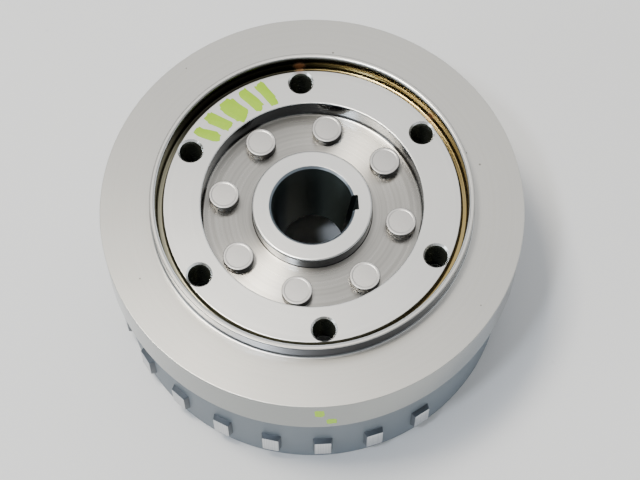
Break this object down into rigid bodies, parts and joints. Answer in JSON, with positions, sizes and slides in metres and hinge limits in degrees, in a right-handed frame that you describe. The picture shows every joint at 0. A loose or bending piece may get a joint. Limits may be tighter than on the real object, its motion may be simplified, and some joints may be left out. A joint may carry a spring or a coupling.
{
  "type": "alternator flywheel",
  "caption": "Steel flywheel cup with a riveted taper hub, a raised rim round a tapped clutch face, trigger lugs and a ring of magnets inside.",
  "frame": {"origin": "on the flywheel's axis, in the plane of the drum's open rim, which is the face it stands on", "axes": "+Z along the axis, towards the clutch side; +X towards the keyway's side, 4 degrees off the keyway"},
  "size_m": [0.125, 0.125, 0.0622],
  "materials": {
    "turned_steel": "turned bright steel, satin with fine concentric tool marks",
    "drum_coating": "matt blue-grey phosphate coating on the drum wall",
    "rivet_steel": "pressed steel, matt grey",
    "ferrite": "ground ferrite, dark grey",
    "nylon": "moulded black nylon",
    "sheet_steel": "thin drawn stainless sheet",
    "marker_paint": "yellow-green paint marker, dried"
  },
  "bodies": {
    "root": {"rotor_cup": "turned_steel", "taper_hub": "turned_steel", "hub_rivet_1": "rivet_steel", "hub_rivet_2": "rivet_steel", "hub_rivet_3": "rivet_steel", "hub_rivet_4": "rivet_steel", "hub_rivet_5": "rivet_steel", "hub_rivet_6": "rivet_steel", "hub_rivet_7": "rivet_steel", "hub_rivet_8": "rivet_steel", "magnet_01": "ferrite", "magnet_02": "ferrite", "magnet_03": "ferrite", "magnet_04": "ferrite", "magnet_05": "ferrite", "magnet_06": "ferrite", "magnet_07": "ferrite", "magnet_08": "ferrite", "magnet_09": "ferrite", "magnet_10": "ferrite", "magnet_11": "ferrite", "magnet_12": "ferrite", "magnet_cage": "nylon", "magnet_sleeve": "sheet_steel"}
  },
  "joints": []
}
